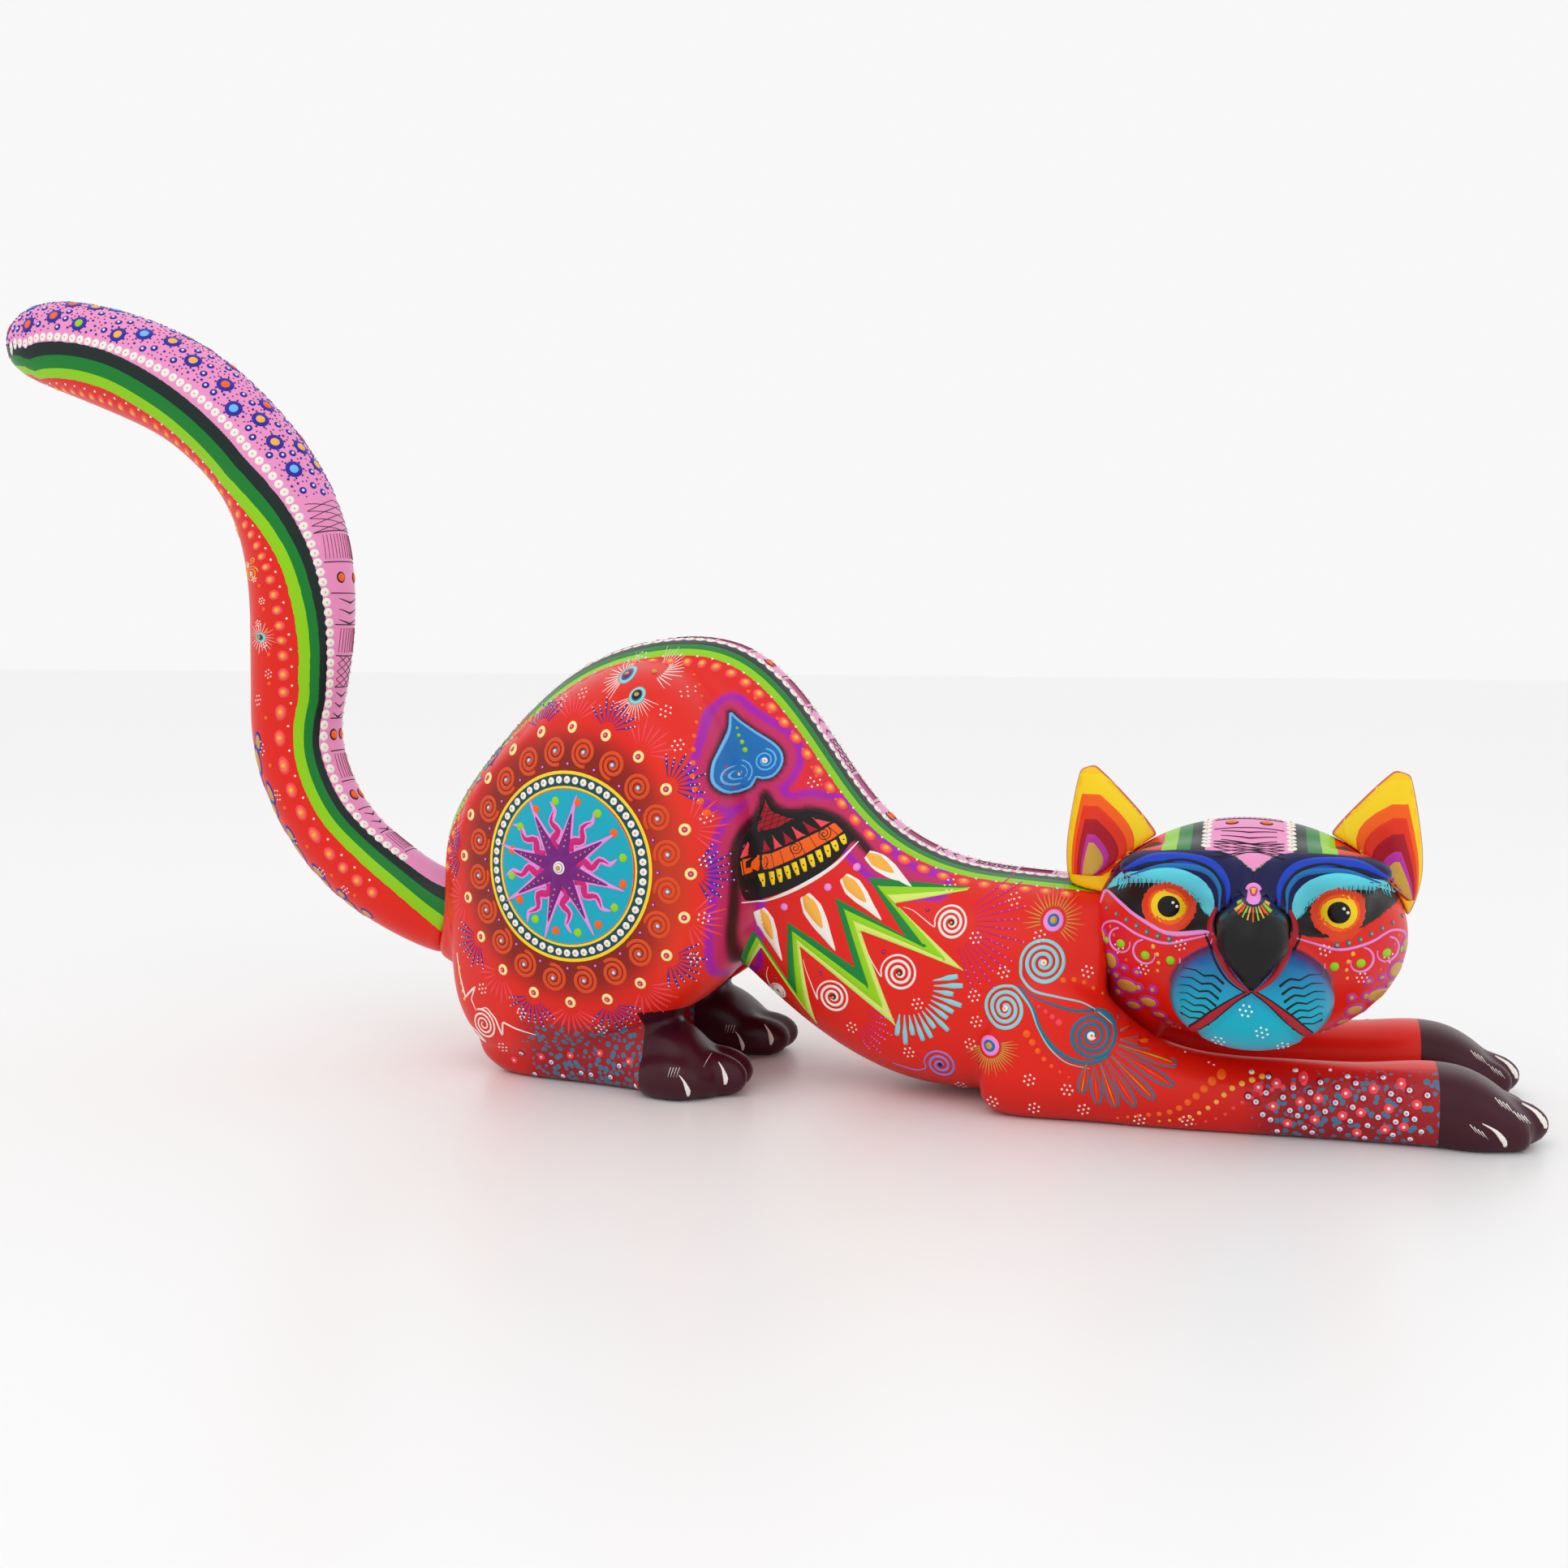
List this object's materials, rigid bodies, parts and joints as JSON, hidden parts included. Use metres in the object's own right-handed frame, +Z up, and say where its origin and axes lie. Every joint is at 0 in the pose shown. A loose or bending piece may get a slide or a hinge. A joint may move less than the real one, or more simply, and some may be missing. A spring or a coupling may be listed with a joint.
{
  "type": "alebrije figure",
  "caption": "Carved wooden stretching cat with raised hips, long forelegs on the floor, a sideways face, an S-curved plug-in tail and plug-in ears, painted all over.",
  "frame": {"origin": "centre of the figure's box at floor level, where the soles stand", "axes": "+X from the tail's end towards the front paws, +Z up, the cat's right side and its turned face look along -Y"},
  "size_m": [0.449, 0.1116, 0.2268],
  "materials": {
    "painted_wood": "hand painted over gesso, satin varnish",
    "bare_wood": "plain turned softwood"
  },
  "bodies": {
    "figure": {"torso": "painted_wood", "head": "painted_wood", "right_hind_leg": "painted_wood", "left_hind_leg": "painted_wood", "right_foreleg": "painted_wood", "left_foreleg": "painted_wood", "right_hind_leg_dowel_upper": "bare_wood", "right_hind_leg_dowel_lower": "bare_wood", "right_foreleg_dowel_rear": "bare_wood", "right_foreleg_dowel_front": "bare_wood", "left_hind_leg_dowel_upper": "bare_wood", "left_hind_leg_dowel_lower": "bare_wood", "left_foreleg_dowel_rear": "bare_wood", "left_foreleg_dowel_front": "bare_wood", "neck_dowel_upper": "bare_wood", "neck_dowel_lower": "bare_wood"},
    "tail_piece": {"tail": "painted_wood", "tail_peg": "bare_wood"},
    "right_ear_piece": {"right_ear": "painted_wood", "right_ear_peg": "bare_wood"},
    "left_ear_piece": {"left_ear": "painted_wood", "left_ear_peg": "bare_wood"}
  },
  "joints": [
    {"name": "tail_pull", "type": "slide", "parent": "figure", "child": "tail_piece", "axis": [-0.9063, 0, 0.4226], "range_m": [0, 0.03]},
    {"name": "right_ear_pull", "type": "slide", "parent": "figure", "child": "right_ear_piece", "axis": [-0.2924, 0, 0.9563], "range_m": [0, 0.012]},
    {"name": "left_ear_pull", "type": "slide", "parent": "figure", "child": "left_ear_piece", "axis": [0.2924, 0, 0.9563], "range_m": [0, 0.012]}
  ]
}
